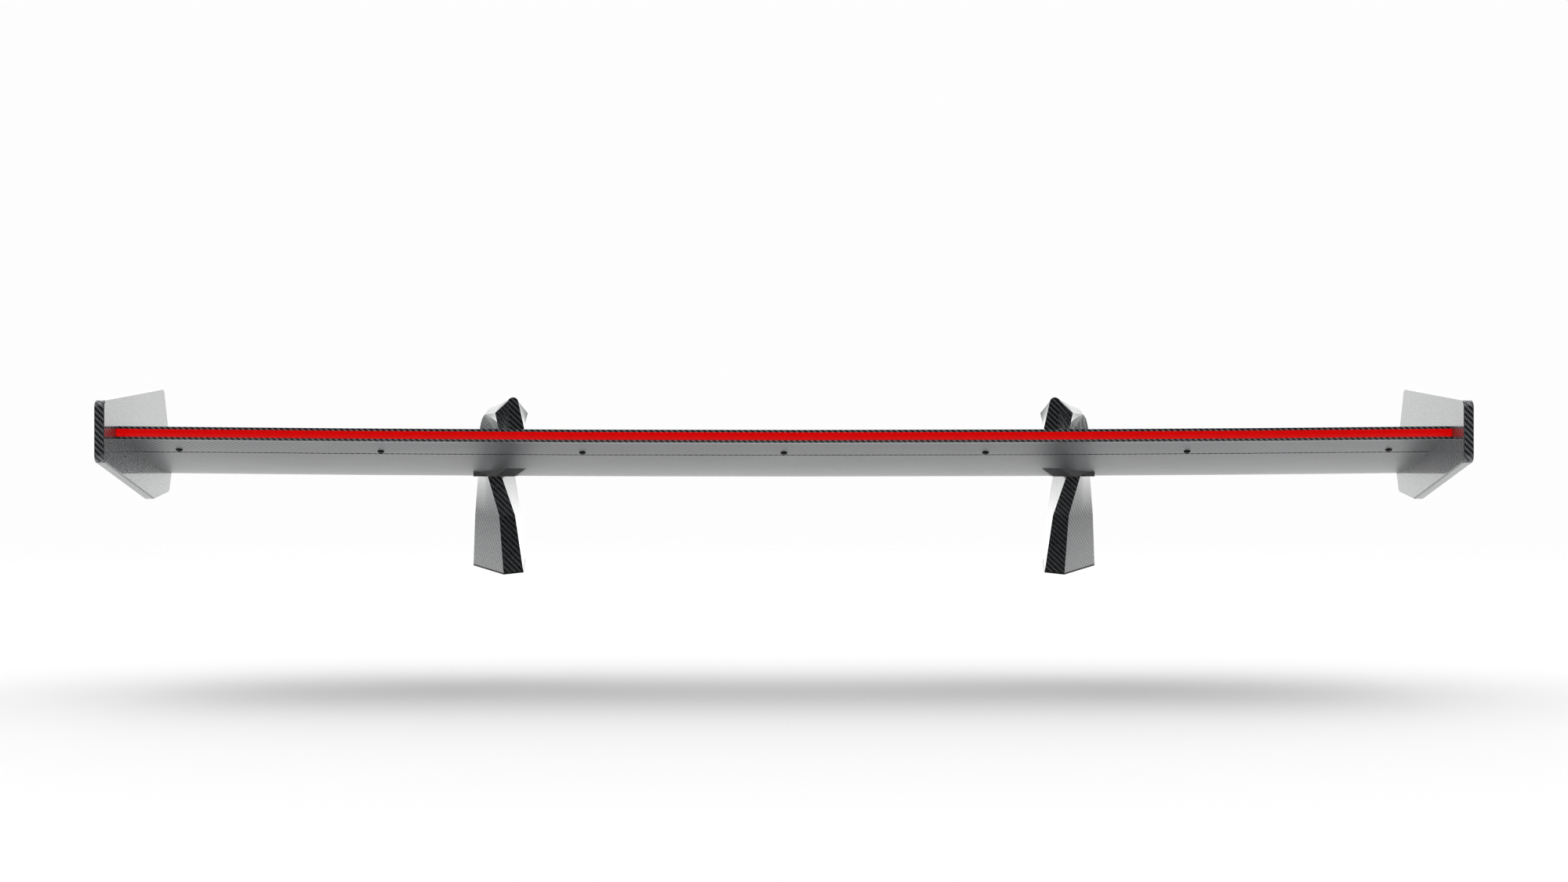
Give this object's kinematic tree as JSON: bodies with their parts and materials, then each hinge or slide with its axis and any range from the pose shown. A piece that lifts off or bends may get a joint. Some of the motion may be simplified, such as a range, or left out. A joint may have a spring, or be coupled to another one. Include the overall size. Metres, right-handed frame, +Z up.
{
  "type": "car rear wing",
  "caption": "Wide rear wing for a track car, with a red light strip in its trailing edge, flat endplates and toed-out swan-neck uprights that hang it from above.",
  "frame": {"origin": "bottom centre of the whole wing, under the middle of its span at the level of the lowest point of the feet", "axes": "+X to the right seen from behind along the span, +Y forward with the trailing edge at -Y, +Z up"},
  "size_m": [1.601, 0.385, 0.2343],
  "materials": {
    "carbon_gloss": "twill carbon fibre laminate under a glossy clear coat",
    "carbon_plain": "bare carbon fibre laminate, uncoated",
    "saddle_grey": "plain dark grey moulded plastic with a light sheen",
    "light_red": "translucent red lens, smooth",
    "light_housing": "extruded, plain",
    "circuit_board": "white lacquered circuit board",
    "light_chip": "small light chips with resin windows",
    "rubber_black": "black moulded rubber",
    "screw_steel": "stainless steel, machined",
    "nut_alloy": "machined aluminium",
    "foam_core": "rigid closed-cell foam core"
  },
  "bodies": {
    "root": {"base_gasket_left": "rubber_black", "base_gasket_right": "rubber_black", "base_plate_left": "nut_alloy", "base_plate_right": "nut_alloy", "cable_grommet": "rubber_black", "clamp_block_left": "nut_alloy", "clamp_block_right": "nut_alloy", "end_rib_left": "carbon_plain", "end_rib_right": "carbon_plain", "endplate_left": "carbon_gloss", "endplate_right": "carbon_gloss", "endplate_screws_left": "screw_steel", "endplate_screws_right": "screw_steel", "front_spar": "carbon_plain", "jaw_inserts_left": "nut_alloy", "jaw_inserts_right": "nut_alloy", "jaw_studs_left": "screw_steel", "jaw_studs_right": "screw_steel", "light_board": "circuit_board", "light_channel": "light_housing", "light_chips": "light_chip", "light_end_seals": "rubber_black", "light_lens": "light_red", "lower_saddle_left": "saddle_grey", "lower_saddle_right": "saddle_grey", "panel_joint_strip": "carbon_plain", "panel_rivet_nuts": "nut_alloy", "panel_screws": "screw_steel", "rear_spar": "carbon_plain", "saddle_screws_left": "screw_steel", "saddle_screws_right": "screw_steel", "upper_saddle_left": "saddle_grey", "upper_saddle_right": "saddle_grey", "upright_core_left": "foam_core", "upright_core_right": "foam_core", "upright_inner_shell_left": "carbon_gloss", "upright_inner_shell_right": "carbon_gloss", "upright_outer_shell_left": "carbon_gloss", "upright_outer_shell_right": "carbon_gloss", "wing_lower_skin": "carbon_gloss", "wing_rear_panel": "carbon_gloss", "wing_upper_skin": "carbon_gloss"}
  },
  "joints": []
}
